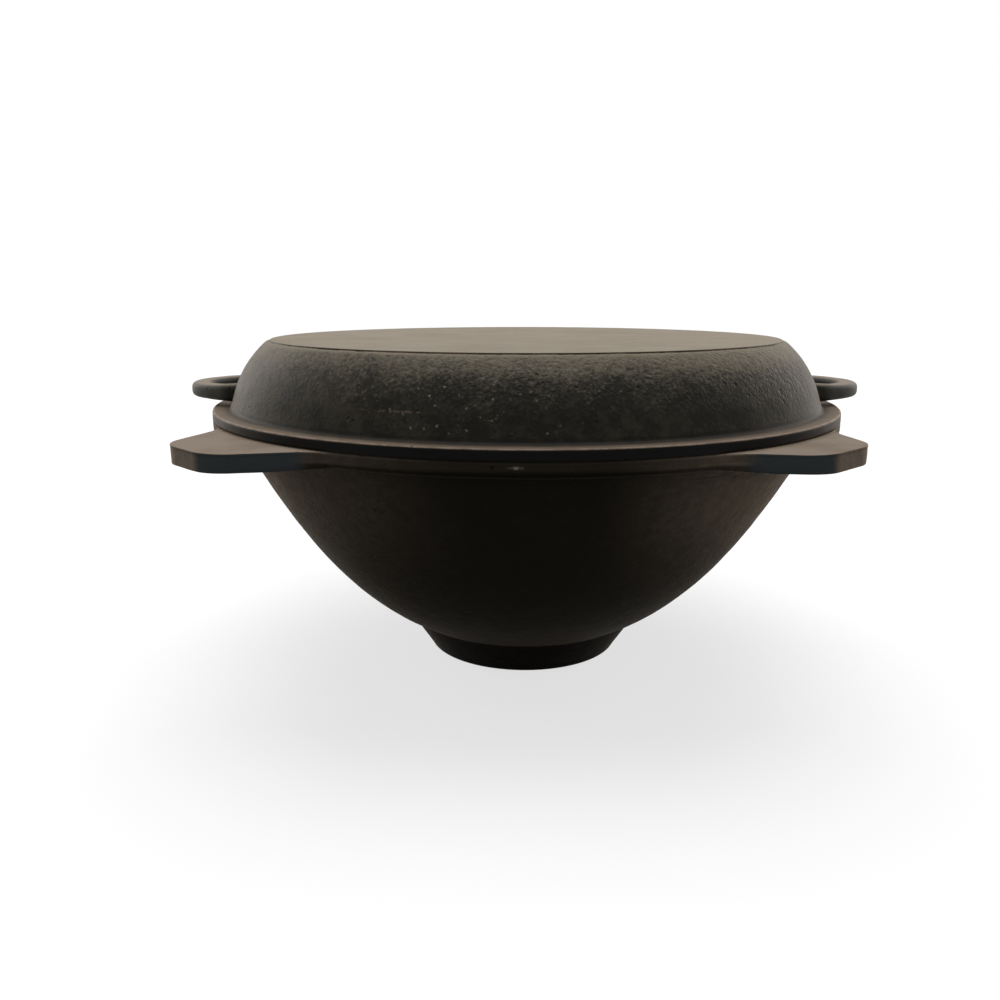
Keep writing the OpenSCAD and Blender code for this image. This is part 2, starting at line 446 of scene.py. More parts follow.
def ear_rows(pot, reach):
    """Rows of an ear out to its tip: how far out, how much of the rim's curve is left, half its width."""
    tip_x = RIM_R + reach
    root_x = math.sqrt(RIM_R ** 2 - pot.ear_root ** 2 / 4)
    start_x = RIM_R * math.cos(EAR_ROOT_ANGLE)
    narrowing = (pot.ear_root - pot.ear_tip) / 2 / (tip_x - root_x)
    lean = math.atan(narrowing)

    def side(x):
        return pot.ear_tip / 2 + (tip_x - x) * narrowing

    flare = RIM_R * math.sin(EAR_ROOT_ANGLE) - side(start_x)

    def half_at(x):
        return side(x) + flare * max(0.0, 1 - (x - start_x) / pot.ear_flare) ** FLARE_POWER

    rows = [(out, curve, half_at(RIM_R + out - curve * (RIM_R - start_x))) for out, curve in ROOT_ROWS]
    corner_x = tip_x - pot.ear_corner
    corner_y = pot.ear_tip / 2 - pot.ear_corner * math.tan(math.pi / 4 - lean / 2)
    side_end = corner_x + pot.ear_corner * math.sin(lean) - RIM_R
    last = ROOT_ROWS[-1][0]
    for k in range(1, SIDE_ROWS + 1):
        out = last + (side_end - last) * k / SIDE_ROWS
        rows.append((out, 0.0, half_at(RIM_R + out)))
    for k in range(1, CORNER_ROWS + 1):
        turn = lean + (math.pi / 2 - lean) * k / CORNER_ROWS
        rows.append((corner_x + pot.ear_corner * math.sin(turn) - RIM_R, 0.0,
                     corner_y + pot.ear_corner * math.cos(turn)))
    return rows


def pull_ear(piece, pot, reach):
    """Extrudes the quarter's ear out of the collar, row by row, and rounds its edges."""
    collar_z = RIM_Z - pot.collar_high
    seat_r = RIM_R - pot.collar_round

    def on_seat(face):
        at = face.calc_center_median()
        return (at.to_2d().length > seat_r and collar_z < at.z < RIM_Z - WELD
                and abs(math.atan2(at.y, at.x)) < EAR_ROOT_ANGLE)

    def sharp_on_ear(edge):
        middle = (edge.verts[0].co + edge.verts[1].co) / 2
        return (len(edge.link_faces) == 2 and edge.calc_face_angle() > SHARP
                and middle.to_2d().length > RIM_R + MM)

    choose(piece, "faces", on_seat)
    out, curve, half, thick = 0.0, 1.0, RIM_R * math.sin(EAR_ROOT_ANGLE), pot.collar_high
    for next_out, next_curve, next_half in ear_rows(pot, reach):
        bpy.ops.mesh.extrude_region_move(TRANSFORM_OT_translate={"value": (next_out - out, 0, 0)})
        flatten = next_curve / curve if curve else 1.0
        next_thick = pot.ear_thick + next_curve * (pot.collar_high - pot.ear_thick)
        bpy.ops.transform.resize(value=(flatten, next_half / half, next_thick / thick),
                                 center_override=(RIM_R + next_out, 0, RIM_Z))
        out, curve, half, thick = next_out, next_curve, next_half, next_thick
    choose(piece, "edges", sharp_on_ear)
    bpy.ops.mesh.bevel(offset=pot.edge, segments=2, affect="EDGES", clamp_overlap=True)


def model_pot(pot):
    """Spins a quarter of the pot, copies it, pulls an ear out of each quarter and joins them."""
    piece = draw_profile("pot_casting", pot_profile(pot), QUARTER / 2)
    bpy.ops.mesh.spin(steps=QUARTER_STEPS, angle=QUARTER, center=(0, 0, 0), axis=(0, 0, 1))
    weld(piece)
    quarters = [piece] + [copy_of(piece) for _ in range(3)]
    for k, part in enumerate(quarters):
        turn = pot.ear_turn + k * QUARTER
        only(part)
        bpy.ops.object.mode_set(mode="EDIT")
        pull_ear(part, pot, pot.ear_reach - pot.ear_uneven * math.cos(turn))
        bpy.ops.object.mode_set(mode="OBJECT")
        part.rotation_euler.z = turn
    join(quarters)

    def depth_at(at):
        """Nothing under the foot, and little on the rim's seat."""
        if at.z < FLAT_FOOT:
            return 0.0
        return SEAT_WAVES if at.z > RIM_Z - MM else 1.0

    finish_casting(piece, pot.waves, depth_at)
    return piece


# The lid

SHOULDER_STEPS = 12
# No stretch of the lid's profile is longer than this
LID_STRETCH = 10 * MM
# How far the disc's step leans out, and the rounding of its two edges
STEP_LEAN = 0.1 * MM
STEP_EDGE = 0.25 * MM
LOOP_STEPS = 36
# How the swelling of a loop's roots grows, and the share of it that goes across the bar
ROOT_POWER = 1.6
ROOT_ACROSS = 0.6
# Points this close to the plane of a ring of the loop belong to it
ON_RING = 0.05 * MM
# Share of the unevenness that is left on the ground disc, and how deep under its top that goes
DISC_WAVES = 0.15
DISC_SKIN = 0.3 * MM
# Width of the flange's seat on the rim
SEAT_WIDE = 20 * MM


def lid_profile(lid, pot):
    """Whole section of the lid, from the middle of the disc round to the middle of the roof inside."""
    flange_z = RIM_Z + lid.flange
    wall_r = RIM_R - lid.flange_wide
    land_z = LID_Z - lid.disc_step
    way = Vector((-math.sin(lid.wall_lean), math.cos(lid.wall_lean)))
    wall_top = Vector((wall_r, flange_z)) + way * lid.shoulder / math.cos(lid.wall_lean)
    shoulder = shoulder_arc(wall_top, way, Vector((lid.disc_r + lid.land, land_z)), SHOULDER_STEPS)
    inside = bowl_curves(pot)[1]
    lip_z = RIM_Z - lid.lip_deep
    lip_r = radius_at(inside, lip_z) - lid.lip_gap
    inner_r = lip_r - lid.lip_wide
    roof_z = LID_Z - lid.top
    roof_r = inner_r - (roof_z - lip_z) * math.tan(lid.draft)
    path = [(0, LID_Z), (lid.disc_r, LID_Z, STEP_EDGE), (lid.disc_r + STEP_LEAN, land_z, STEP_EDGE)]
    path += [tuple(p) for p in reversed(shoulder)]
    path += [(wall_r, flange_z, lid.hollow),
             (RIM_R, flange_z, lid.edge),
             (RIM_R, RIM_Z, lid.edge),
             (radius_at(inside, RIM_Z) - lid.lip_gap, RIM_Z),
             (lip_r, lip_z, lid.edge),
             (inner_r, lip_z, lid.edge),
             (roof_r, roof_z, lid.inside_round),
             (0, roof_z)]
    return stretched(rounded(path), LID_STRETCH)


def bend_loop(lid):
    """Bends a rounded bar into the right-hand loop handle, swollen at its roots and slimmer at its tip."""
    middle_r = lid.loop_r - lid.bar_wide / 2
    middle = Vector((RIM_R + lid.loop_reach - lid.loop_r, 0,
                     RIM_Z + lid.flange + lid.bar_lift + lid.bar_high / 2))
    bpy.ops.object.select_all(action="DESELECT")
    start = middle + Vector((0, middle_r, 0))
    bpy.ops.mesh.primitive_plane_add(size=1, location=start, rotation=(0, math.pi / 2, 0))
    bar = bpy.context.object
    bpy.ops.object.transform_apply(location=True, rotation=True, scale=True)
    bpy.ops.object.mode_set(mode="EDIT")
    bpy.ops.mesh.select_all(action="SELECT")
    bpy.ops.transform.resize(value=(1, lid.bar_wide, lid.bar_high), center_override=start)
    bpy.ops.mesh.bevel(offset=lid.bar_round, segments=4, affect="VERTICES")
    bpy.ops.mesh.spin(steps=LOOP_STEPS, angle=math.pi, center=middle, axis=(0, 0, 1))
    for k in range(LOOP_STEPS + 1):
        turn = math.pi * (k / LOOP_STEPS - 0.5)
        way = Vector((math.cos(turn), math.sin(turn), 0))
        centre = middle + middle_r * way
        root = max(0.0, (abs(turn) - lid.root_angle) / (math.pi / 2 - lid.root_angle))
        swell = lid.root_swell * root ** ROOT_POWER - lid.tip_slim * math.cos(turn) ** 2

        def on_ring(point):
            away = point.co - centre
            return away.length < lid.bar_wide and abs(away.cross(way).z) < ON_RING

        choose(bar, "verts", on_ring)
        across = 1 + swell * ROOT_ACROSS
        bpy.ops.transform.resize(value=(across, across, 1 + swell), center_override=centre)
    weld(bar)
    return bar


def model_lid(lid, pot):
    """Spins the lid's section, and joins a loop handle to each side."""
    piece = draw_profile("lid_casting", lid_profile(lid, pot), 0)
    bpy.ops.mesh.spin(steps=4 * QUARTER_STEPS, angle=FULL_TURN, center=(0, 0, 0), axis=(0, 0, 1))
    weld(piece)
    right = bend_loop(lid)
    left = copy_of(right)
    left.rotation_euler.z = math.pi
    join([piece, right, left])

    def depth_at(at):
        """The disc was ground flat, and the flange's seat has to lie flat."""
        if at.z > LID_Z - DISC_SKIN:
            return DISC_WAVES
        return SEAT_WAVES if at.z < RIM_Z + MM and at.to_2d().length > RIM_R - SEAT_WIDE else 1.0

    finish_casting(piece, lid.waves, depth_at)
    return piece


# Nodes

class Wire:
    """One socket's value. Sums, differences and products of wires add their Math nodes."""

    def __init__(self, bench, socket):
        self.bench = bench
        self.socket = socket

    def math_with(self, operation, first, second):
        return self.bench.add("ShaderNodeMath", {"operation": operation}, {0: first, 1: second})

    def __add__(self, other):
        return self.math_with("ADD", self, other)

    __radd__ = __add__

    def __sub__(self, other):
        return self.math_with("SUBTRACT", self, other)

    def __rsub__(self, other):
        return self.math_with("SUBTRACT", other, self)

    def __mul__(self, other):
        return self.math_with("MULTIPLY", self, other)

    __rmul__ = __mul__


class Bench:
    """The nodes of a material or of the world, added one by one."""

    def __init__(self, tree):
        self.tree = tree
        tree.nodes.clear()

    def place(self, kind, settings=None, inputs=None):
        """Adds a node of this type, sets it, and fills or links its sockets."""
        node = self.tree.nodes.new(kind)
        for name, value in (settings or {}).items():
            setattr(node, name, value)
        for key, value in (inputs or {}).items():
            if isinstance(value, Wire):
                self.tree.links.new(value.socket, node.inputs[key])
            else:
                node.inputs[key].default_value = value
        return node

    def add(self, kind, settings=None, inputs=None, out=0):
        """The same, and hands back the wire of one of its outputs."""
        return Wire(self, self.place(kind, settings, inputs).outputs[out])

    def vector(self, operation, inputs, out="Vector"):
        """A Vector Math node."""
        return self.add("ShaderNodeVectorMath", {"operation": operation}, dict(enumerate(inputs)), out)

    def noise(self, at, size, detail=3.0, rough=0.55):
        """Noise whose lumps are about size metres across."""
        return self.add("ShaderNodeTexNoise", {},
                        {"Vector": at, "Scale": 1 / size, "Detail": detail, "Roughness": rough})

    def cells(self, at, size, out="Distance"):
        """Distance from the middle of the nearest cell, in cells that are about size metres apart."""
        return self.add("ShaderNodeTexVoronoi", {"feature": "F1"}, {"Vector": at, "Scale": 1 / size}, out)

    def rise(self, value, low, high):
        """0 below low, 1 above high, smooth between."""
        return self.add("ShaderNodeMapRange", {"interpolation_type": "SMOOTHSTEP"},
                        {0: value, 1: low, 2: high})

    def fall(self, value, low, high):
        """1 below low, 0 above high, smooth between."""
        return 1.0 - self.rise(value, low, high)

    def within(self, value, low, full_from, full_to, high):
        """1 between full_from and full_to, 0 below low and above high, smooth between."""
        return self.rise(value, low, full_from) * self.fall(value, full_to, high)

    def blend(self, mask, first, second):
        """Colour first where mask is 0 and second where it is 1."""
        def as_colour(c):
            return c if isinstance(c, Wire) else (*c, 1.0)
        return self.add("ShaderNodeMix", {"data_type": "RGBA"},
                        {0: mask, 6: as_colour(first), 7: as_colour(second)}, 2)

    def squeezed(self, at, scale):
        """Coordinates that change more slowly along the axes with a small scale."""
        return self.add("ShaderNodeMapping", {}, {"Vector": at, "Scale": scale})


# Iron

# Sizes and distances of what the noise makes on the iron
FINE = 1.7 * MM
LUMPS = 3.6 * MM
PATCHES = 30 * MM
PITS_APART = 6 * MM
PITTED_PATCHES = 9 * MM
CRUMBS_APART = 3.2 * MM
RAGGED = 1.2 * MM

# Marks: place and half width along X, Y and Z in millimetres, raggedness of the edge, and strength
POT_MARKS = (
    ((-8.1, -184.8, 147.4), (1.3, 3, 0.8), 0.5, 0.55),
    ((-8.1, -184.8, 147.4), (4, 3, 0.9), 1.6, 0.22),
    ((99.5, -137.9, 137.5), (8, 8, 0.7), 1.2, 0.5),
    ((62, -158, 140), (16, 8, 0.6), 1.6, 0.2),
)
LID_SCRATCH = (((-62, -158, 168.3), (19, 30, 0.6), 1.1, 0.5),)
LID_DENTS = (
    ((122.8, -115.8, 172.2), (1.6, 1.6, 1.6), 0.5, 1.0),
    ((95.4, -135.3, 177.6), (1.4, 1.4, 1.4), 0.5, 1.0),
)


class Coat:
    """The iron of one piece: its nodes, where a point of it is, its grain and the colour laid so far."""

    def __init__(self, name, looks, base, pit_share):
        self.iron = bpy.data.materials.new(name)
        self.iron.use_nodes = True
        bench = Bench(self.iron.node_tree)
        self.bench = bench
        self.looks = looks
        self.tint = base

        coordinates = bench.place("ShaderNodeTexCoord")
        self.at = Wire(bench, coordinates.outputs["Object"])
        split = bench.place("ShaderNodeSeparateXYZ", {}, {0: self.at})
        self.x, self.y, self.z = (Wire(bench, s) for s in split.outputs)
        flat = bench.vector("MULTIPLY", (self.at, (1, 1, 0)))
        self.r = bench.vector("LENGTH", (flat,), "Value")
        shape = bench.place("ShaderNodeNewGeometry")
        normal = bench.place("ShaderNodeSeparateXYZ", {}, {0: Wire(bench, shape.outputs["Normal"])})
        self.sideways = Wire(bench, normal.outputs["X"])
        self.up = Wire(bench, normal.outputs["Z"])

        self.fine = bench.noise(self.at, FINE, 2.0, 0.6)
        self.lumps = bench.noise(self.at, LUMPS, 3.0, 0.6)
        self.patches = bench.noise(self.at, PATCHES)
        pitted = bench.rise(bench.noise(self.at, PITTED_PATCHES, 1.0), 1.0 - pit_share, 1.05 - pit_share)
        self.pit = bench.fall(bench.cells(self.at, PITS_APART) + 0.12 * self.lumps, 0.13, 0.25) * pitted

    def lay(self, colour, mask):
        """Lays a colour over what is there, as strongly as mask says."""
        self.tint = self.bench.blend(mask, self.tint, colour)

    def marks(self, rows):
        """Mask of the marks in these rows."""
        total = 0.0
        for where, size, ragged, strength in rows:
            off = self.bench.vector("SUBTRACT", (self.at, [c * MM for c in where]))
            scaled = self.bench.vector("DIVIDE", (off, [c * MM for c in size]))
            away = self.bench.vector("LENGTH", (scaled,), "Value")
            away = away + ragged * (self.bench.noise(self.at, RAGGED, 2.0) - 0.5)
            total = total + strength * self.bench.fall(away, 0.6, 1.1)
        return total

    def finish(self, rough, height, gloss, dust):
        """Joins the colour, the roughness and the relief into the surface of the iron."""
        relief = self.bench.add("ShaderNodeBump", {},
                                {"Strength": 1.0, "Distance": self.looks.grain, "Height": height})
        surface = self.bench.add("ShaderNodeBsdfPrincipled", {}, {
            "Base Color": self.tint, "Roughness": rough, "Normal": relief,
            "Specular IOR Level": gloss, "Sheen Weight": dust,
            "Sheen Roughness": self.looks.dust_soft, "Sheen Tint": (*self.looks.dust_tint, 1.0)})
        self.bench.place("ShaderNodeOutputMaterial", {}, {0: surface})
        return self.iron


def paint_bowl(coat, mottle):
    """Black bowl, worn in patches away from its front, with painted light as brown on its two sides and
    painted shade towards the foot.
    """
    bench, looks = coat.bench, coat.looks
    behind = bench.rise(coat.y, -120 * MM, -60 * MM)
    worn = bench.rise(0.5 * coat.patches + 0.5 * mottle, 0.44, 0.64)
    coat.lay(looks.pot_worn, worn * (0.15 + 0.6 * behind))
    high = bench.rise(coat.z, 55 * MM, 125 * MM)
    # Painted light: the bowl's two sides, the left one less, are lighter and browner as light falls on them
    sides = bench.rise(coat.x, 25 * MM, 125 * MM) + 0.6 * bench.fall(coat.x, -145 * MM, -25 * MM)
    coat.lay(looks.pot_painted_side_light, sides * high * (0.65 + 0.35 * bench.rise(mottle, 0.3, 0.7)))
    # Painted shade: darker towards the foot, where the bowl's underside is in shade
    coat.lay(looks.soot_and_painted_shade, 0.9 * bench.fall(coat.z, 15 * MM, 52 * MM))


def paint_collar(coat, collar_z, rings):
    """Browner rings under the collar on the right, a browner collar, and painted shade round its lower edge,
    where it meets the wall.
    """
    bench, looks = coat.bench, coat.looks
    under = bench.within(coat.z, collar_z - 12 * MM, collar_z - 5 * MM, collar_z - 2 * MM, collar_z)
    to_side = bench.rise(coat.x, 30 * MM, 110 * MM)
    coat.lay(looks.pot_worn, under * to_side * bench.rise(rings, 0.48, 0.6) * 0.7)
    outside = bench.rise(coat.z, collar_z + 3.5 * MM, collar_z + 5 * MM) * bench.fall(coat.up, 0.3, 0.6)
    coat.lay(looks.pot_worn, outside * 0.35)
    # Painted shade in the corner under the collar's lower edge
    corner = bench.within(coat.z, collar_z - 3 * MM, collar_z - MM, collar_z + 2 * MM, collar_z + 4 * MM)
    coat.lay(looks.soot_and_painted_shade, corner * 0.7)


def paint_ears(coat):
    """Steely ears with rubbed tops, and painted light as brown on the ends that face sideways. Hands back
    the mask of the tops.
    """
    bench, looks = coat.bench, coat.looks
    on_ear = bench.rise(coat.r, RIM_R + 2 * MM, RIM_R + 8 * MM)
    coat.lay(looks.ear_side, on_ear)
    tops = bench.rise(coat.up, 0.55, 0.9) * bench.rise(coat.z, RIM_Z - 4 * MM, RIM_Z - 2 * MM)
    # The tops start just outside the rim, so the rim's edge and the ears' first millimetre stay dark:
    # painted shade under the lid's flange
    tops = tops * bench.rise(coat.r, RIM_R + 0.2 * MM, RIM_R + 1.2 * MM)
    coat.lay(bench.blend(bench.rise(coat.patches, 0.4, 0.7), looks.ear_top, looks.ear_stain), tops)
    # Painted light: the ends of the ears that face sideways are lighter and browner as light falls on them
    to_side = coat.sideways * coat.sideways + 0.08 * bench.rise(coat.x, 0, MM)
    coat.lay(looks.pot_painted_side_light, on_ear * bench.rise(to_side, 0.30, 0.62) * 0.9)
    return tops


def pot_iron(looks, pot):
    """Blackened iron, browner in patches, with painted light on both its sides and painted shade under its
    collar and towards its foot, rubbed to taupe on its ears.
    """
    coat = Coat("pot_iron", looks, looks.pot_wall, pit_share=0.40)
    bench = coat.bench
    rings = bench.noise(bench.squeezed(coat.at, (0.06, 0.06, 1)), 2.2 * MM, 2.0, 0.5)
    mottle = bench.noise(coat.at, 6 * MM, 3.0, 0.65)
    paint_bowl(coat, mottle)
    paint_collar(coat, RIM_Z - pot.collar_high, rings)
    tops = paint_ears(coat)
    coat.lay(looks.speck, coat.marks(POT_MARKS))
    coat.lay(looks.soot_and_painted_shade, coat.pit * 0.7)
    rough = looks.rough + 0.16 * (coat.patches - 0.5) + 0.2 * (coat.fine - 0.5) + 0.06 * tops
    relief = (1.0 - 0.6 * tops) * (0.3 * coat.fine + 0.4 * coat.lumps + 0.1 * rings) - 0.5 * coat.pit
    return coat.finish(rough, relief, looks.pot_gloss, looks.pot_dust)


def paint_wall(coat, mottle, to_front, shoulder):
    """Charcoal wall with greyer patches, and a painted highlight in the disc's colour along its shoulder,
    strongest towards the front.
    """
    bench, looks = coat.bench, coat.looks
    grain = 0.65 * coat.fine + 0.35 * coat.lumps
    worn = bench.rise(0.35 * coat.patches + 0.35 * mottle + 0.3 * grain, 0.42, 0.58)
    coat.lay(looks.lid_worn, worn * 0.75)
    # Painted highlight: the shoulder's upward-facing grain is lighter, most towards the front, as the
    # overhead light shines on it
    highlight_band = bench.rise(coat.up, 0.46, 0.90) * (0.55 + 0.45 * to_front)
    painted_highlight = bench.rise(grain + 0.3 * (coat.patches - 0.5) + 0.58 * highlight_band, 0.48, 0.95)
    coat.lay(looks.disc, painted_highlight * shoulder * bench.rise(coat.up, 0.3, 0.5))


def paint_flange(coat, flange_z, mottle):
    """Brown flange, with painted shade on its side and towards its corner with the wall, and a light
    rust-coloured line on its rounded edge that is part rust, part painted highlight. Hands back its mask.
    """
    bench, looks = coat.bench, coat.looks
    on_flange = (bench.fall(coat.z, flange_z + 0.5 * MM, flange_z + 3 * MM)
                 * bench.rise(coat.r, RIM_R - 15 * MM, RIM_R - 11 * MM))
    outward = bench.rise(coat.r, RIM_R - 9 * MM, RIM_R - 1.5 * MM)
    # Painted shade: the flange's top is darker towards the wall
    coat.lay(looks.flange_top, on_flange * bench.rise(coat.up, 0.3, 0.9) * (0.25 + 0.7 * outward))
    # Painted shade on the flange's faces that don't face up
    coat.lay(looks.soot_and_painted_shade, on_flange * bench.fall(coat.up, 0.1, 0.45))
    # Painted shade in the corner between the flange and the wall
    coat.lay(looks.soot_and_painted_shade, on_flange * bench.fall(coat.r, RIM_R - 9 * MM, RIM_R - 6 * MM) * 0.6)
    # Part rust, part painted highlight along the flange's rounded outer edge
    edge = (bench.rise(coat.r, RIM_R - 1.9 * MM, RIM_R - 0.9 * MM)
            * bench.rise(coat.z, flange_z - 0.8 * MM, flange_z - 0.3 * MM))
    coat.lay(looks.rust_and_painted_light, edge * on_flange * (0.3 + 0.9 * bench.rise(mottle, 0.38, 0.62)))
    return on_flange


def paint_loops(coat, flange_z):
    """Dark loop handles, rubbed on top."""
    bench, looks = coat.bench, coat.looks
    loops = (bench.rise(coat.r, RIM_R - 9 * MM, RIM_R - 3 * MM)
             * bench.rise(coat.z, flange_z + MM, flange_z + 2.5 * MM))
    coat.lay(looks.loop_side, loops)
    coat.lay(looks.ear_top, loops * 0.7 * bench.rise(coat.up, 0.75, 0.98))


def paint_disc(coat, lid, streaks):
    """Ground disc, the light land outside it, and the broken line at its step: painted shade in dashes, and
    between them a lighter colour that paints out the step's own shade. Hands back its mask.
    """
    bench, looks = coat.bench, coat.looks
    land_z = LID_Z - lid.disc_step
    stained = bench.rise(0.4 * streaks + 0.6 * coat.patches, 0.42, 0.66)
    on_disc = bench.rise(coat.z, land_z + 0.02 * MM, land_z + 0.2 * MM)
    coat.lay(bench.blend(stained, looks.disc, looks.disc_dark), on_disc)
    land = bench.within(coat.r, lid.disc_r, lid.disc_r + 0.2 * MM,
                        lid.disc_r + 1.2 * MM, lid.disc_r + 3.5 * MM)
    land = land * bench.rise(coat.up, 0.5, 0.7)
    coat.lay(looks.disc, land * (1.0 - on_disc) * 0.8)
    step = bench.within(coat.r, lid.disc_r - 0.5 * MM, lid.disc_r - 0.2 * MM,
                        lid.disc_r + 0.25 * MM, lid.disc_r + 0.5 * MM)
    step = step * bench.fall(coat.z, LID_Z - 0.6 * MM, LID_Z - 0.42 * MM)
    dashes = bench.rise(bench.noise(coat.at, 7 * MM, 3.0, 0.7), 0.46, 0.60)
    # Painted light between the dashes and painted shade in them, on the step's side
    coat.lay(looks.rust_and_painted_light, step * (1.0 - dashes))
    coat.lay(looks.soot_and_painted_shade, step * dashes * 0.6)
    return on_disc


def sprinkle_specks(coat, flange_z):
    """Pale grains and faint smears on the front left of the wall."""
    bench = coat.bench
    crumbs = bench.fall(bench.cells(coat.at, CRUMBS_APART) + 0.8 * (coat.fine - 0.5), 0.04, 0.22)
    some = bench.rise(bench.cells(coat.at, CRUMBS_APART, "Color"), 0.50, 0.85)
    front = (bench.within(coat.x, -95 * MM, -55 * MM, -5 * MM, 40 * MM)
             * bench.fall(coat.y, -120 * MM, -100 * MM)
             * bench.within(coat.z, flange_z + 3 * MM, flange_z + 5 * MM, LID_Z - 12 * MM, LID_Z - 7 * MM))
    smeared = bench.rise(bench.noise(coat.at, 10 * MM, 2.0, 0.5), 0.5, 0.62)
    smears = bench.rise(coat.fine, 0.60, 0.72) * smeared
    coat.lay(coat.looks.speck, front * (crumbs * some * (0.1 + 1.1 * coat.patches) + 0.25 * smears))


def lid_iron(looks, lid):
    """Charcoal pitted wall with a painted highlight on its shoulder, a ground taupe disc and a browner
    flange.
    """
    coat = Coat("lid_iron", looks, looks.lid_wall, pit_share=0.46)
    bench = coat.bench
    flange_z = RIM_Z + lid.flange
    mottle = bench.noise(coat.at, 7 * MM, 3.0, 0.6)
    streaks = bench.noise(bench.squeezed(coat.at, (0.25, 1, 1)), 6 * MM, 3.0, 0.65)
    to_front = bench.rise(coat.x, -90 * MM, -10 * MM) * bench.fall(coat.y, -80 * MM, -50 * MM)
    shoulder = bench.rise(coat.z, flange_z + 8 * MM, flange_z + 14 * MM)
    paint_wall(coat, mottle, to_front, shoulder)
    on_flange = paint_flange(coat, flange_z, mottle)
    paint_loops(coat, flange_z)
    on_disc = paint_disc(coat, lid, streaks)
    sprinkle_specks(coat, flange_z)
    gaps = bench.rise(bench.noise(coat.at, 2.4 * MM, 2.0), 0.42, 0.62)
    coat.lay(looks.rust_and_painted_light, coat.marks(LID_SCRATCH) * gaps)
    dents = coat.marks(LID_DENTS)
    wall = 1.0 - on_disc
    coat.lay(looks.soot_and_painted_shade, (0.65 * coat.pit + dents) * wall)
    rough = looks.rough + 0.14 * (coat.patches - 0.5) + 0.2 * (coat.fine - 0.5) - 0.04 * on_disc
    bumpy = to_front * shoulder * (0.4 + 0.6 * bench.rise(coat.up, 0.3, 0.6))
    coarse = wall * (1.0 - 0.8 * on_flange) * (0.35 + 0.8 * bumpy)
    relief = (coarse * (coat.fine + coat.lumps - 0.9 * coat.pit - 1.2 * dents)
              + on_disc * (0.2 * coat.fine + 0.16 * streaks))
    return coat.finish(rough, relief, looks.lid_gloss, looks.lid_dust)


# Studio

# Name and place of each side lamp, and its share of their power
SIDE_LAMPS = (("side_lamp_left", (-1.65, 1.2, 0.65), 1.0), ("side_lamp_right", (1.65, 1.2, 0.65), 0.75))
# Width and height of a side lamp, and what it points at
SIDE_LAMP_SIZE = (1.1, 1.2)
LAMP_TARGET = Vector((0, 0, 0.12))
# Width of the camera's sensor in millimetres
SENSOR = 36


def seen_as_background(bench):
    """1 for the camera's own rays and for what gloss and glass show, 0 for light that falls on things."""
    path = bench.place("ShaderNodeLightPath")
    camera, gloss, glass = (Wire(bench, path.outputs["Is " + kind + " Ray"])
                            for kind in ("Camera", "Glossy", "Transmission"))
    return bench.add("ShaderNodeMath", {"operation": "MINIMUM"}, {0: camera + gloss + glass, 1: 1.0})


def lay_floor(studio):
    """A pale plain floor that shows the object's soft shadow and throws little light back."""
    bpy.ops.object.select_all(action="DESELECT")
    bpy.ops.mesh.primitive_plane_add(size=studio.floor_wide, location=(0, 0, 0))
    floor = bpy.context.object
    floor.name = "floor"
    matt = bpy.data.materials.new("floor_paper")
    matt.use_nodes = True
    bench = Bench(matt.node_tree)
    seen = seen_as_background(bench)
    shade = bench.blend(seen, studio.floor_bounce, studio.floor)
    paper = bench.add("ShaderNodeBsdfDiffuse", {}, {"Color": shade})
    glow = bench.add("ShaderNodeEmission", {}, {"Color": (1, 1, 1, 1), "Strength": 1.0})
    both = bench.add("ShaderNodeMixShader", {}, {0: (1.0 - studio.shadow) * seen, 1: paper, 2: glow})
    bench.place("ShaderNodeOutputMaterial", {}, {0: both})
    floor.data.materials.append(matt)


def surround(scene, studio):
    """White surroundings that light the object only as strongly as the sky's setting."""
    world = bpy.data.worlds.new("white_surroundings")
    scene.world = world
    world.use_nodes = True
    bench = Bench(world.node_tree)
    brightness = studio.sky + (1.0 - studio.sky) * seen_as_background(bench)
    glow = bench.add("ShaderNodeBackground", {}, {"Color": (1, 1, 1, 1), "Strength": brightness})
    bench.place("ShaderNodeOutputWorld", {}, {0: glow})


def hang_lamps(studio):
    """A soft overhead lamp, and a large lamp on each side behind the object."""
    bpy.ops.object.light_add(type="SUN", location=(0, 0.6, 2), rotation=(-studio.lamp_tilt, 0, 0))
    lamp = bpy.context.object
    lamp.name = "overhead_lamp"
    lamp.data.energy = studio.lamp
    lamp.data.angle = studio.lamp_soft
    for name, place, power in SIDE_LAMPS:
        bpy.ops.object.light_add(type="AREA", location=place)
        lamp = bpy.context.object
        lamp.name = name
        lamp.rotation_euler = (LAMP_TARGET - lamp.location).to_track_quat("-Z", "Y").to_euler()
        lamp.data.shape = "RECTANGLE"
        lamp.data.size, lamp.data.size_y = SIDE_LAMP_SIZE
        lamp.data.energy = power * studio.side_lamps


def set_camera(scene, studio):
    """The camera at the photo's place and angle."""
    bpy.ops.object.camera_add(location=studio.camera, rotation=(math.pi / 2 - studio.pitch, 0, 0))
    camera = bpy.context.object
    camera.name = "camera"
    camera.data.sensor_width = SENSOR
    camera.data.lens = studio.lens
    camera.data.clip_start = 0.01
    camera.data.clip_end = 200
    scene.camera = camera


# Operators

class KAZAN_OT_pot(bpy.types.Operator):
    """Model the pot, with its collar, foot and four ears"""
    bl_idname = "kazan.pot"
    bl_label = "Pot"

    def execute(self, context):
        scene = context.scene
        hand_over(model_pot(scene.kazan_pot), "pot", pot_iron(scene.kazan_looks, scene.kazan_pot))
        return {"FINISHED"}


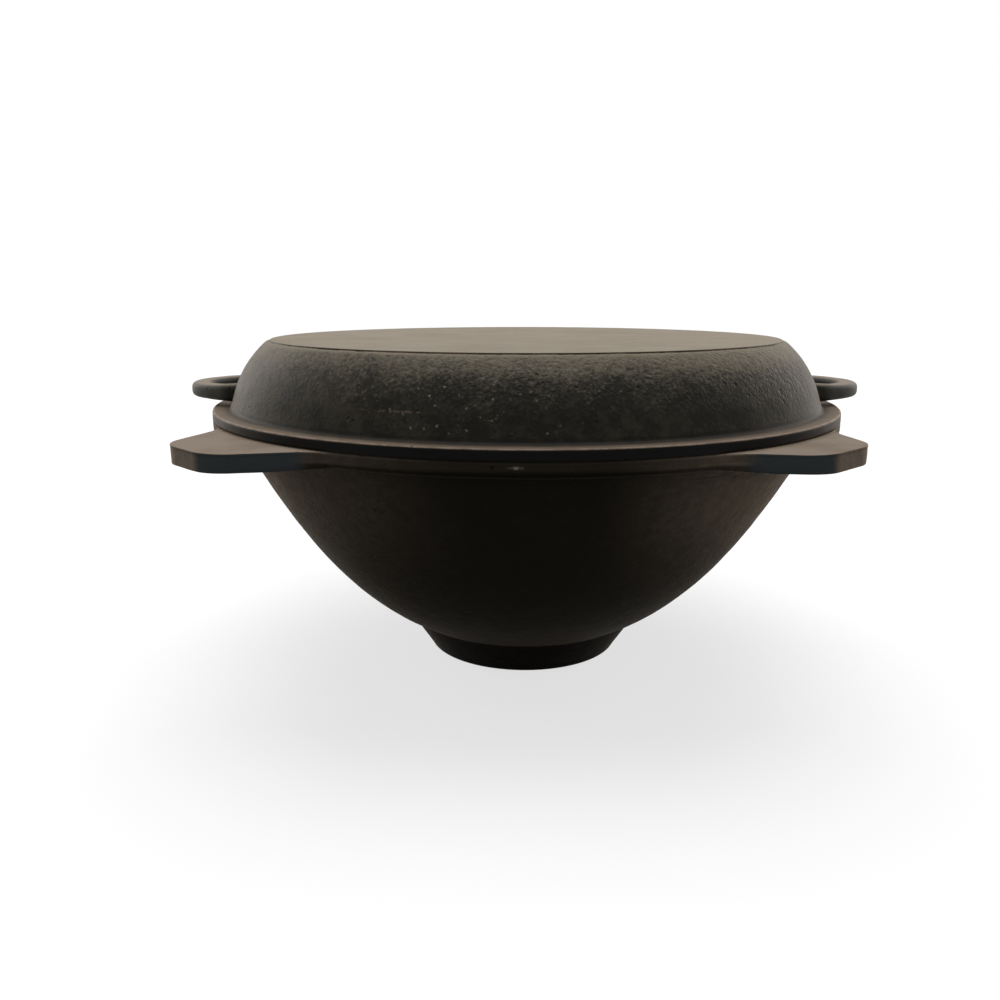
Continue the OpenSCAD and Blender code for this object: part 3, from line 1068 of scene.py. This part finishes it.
class KAZAN_OT_lid(bpy.types.Operator):
    """Model the upturned pan that is the lid, with its two loop handles"""
    bl_idname = "kazan.lid"
    bl_label = "Lid"

    def execute(self, context):
        scene = context.scene
        iron = lid_iron(scene.kazan_looks, scene.kazan_lid)
        hand_over(model_lid(scene.kazan_lid, scene.kazan_pot), "lid", iron)
        return {"FINISHED"}


class KAZAN_OT_studio(bpy.types.Operator):
    """Lay the floor, and set up the lamps, the white surroundings and the camera"""
    bl_idname = "kazan.studio"
    bl_label = "Studio"

    def execute(self, context):
        scene = context.scene
        lay_floor(scene.kazan_studio)
        surround(scene, scene.kazan_studio)
        hang_lamps(scene.kazan_studio)
        set_camera(scene, scene.kazan_studio)
        scene.view_settings.view_transform = "Standard"
        return {"FINISHED"}


class KAZAN_PT_sidebar(bpy.types.Panel):
    """Lists the operators and the sizes they use."""
    bl_idname = "KAZAN_PT_sidebar"
    bl_label = "Kazan"
    bl_space_type = "VIEW_3D"
    bl_region_type = "UI"
    bl_category = "Kazan"

    def draw(self, context):
        layout = self.layout
        for operator in OPERATORS:
            layout.operator(operator.bl_idname)
        for name in GROUPS:
            box = layout.box()
            group = getattr(context.scene, name)
            for prop in group.bl_rna.properties:
                if not prop.is_readonly and prop.identifier != "name":
                    box.prop(group, prop.identifier)


OPERATORS = (KAZAN_OT_pot, KAZAN_OT_lid, KAZAN_OT_studio)
GROUPS = {"kazan_pot": PotSizes, "kazan_lid": LidSizes, "kazan_looks": IronLooks,
          "kazan_studio": StudioSetup}


def register():
    for group in GROUPS.values():
        bpy.utils.register_class(group)
    for name, group in GROUPS.items():
        setattr(bpy.types.Scene, name, PointerProperty(type=group))
    for part in (*OPERATORS, KAZAN_PT_sidebar):
        bpy.utils.register_class(part)


def unregister():
    for part in reversed((*OPERATORS, KAZAN_PT_sidebar)):
        bpy.utils.unregister_class(part)
    for name in GROUPS:
        delattr(bpy.types.Scene, name)
    for group in reversed(GROUPS.values()):
        bpy.utils.unregister_class(group)


def main():
    register()
    bpy.ops.kazan.pot()
    bpy.ops.kazan.lid()
    bpy.ops.kazan.studio()


if __name__ == "__main__":
    main()
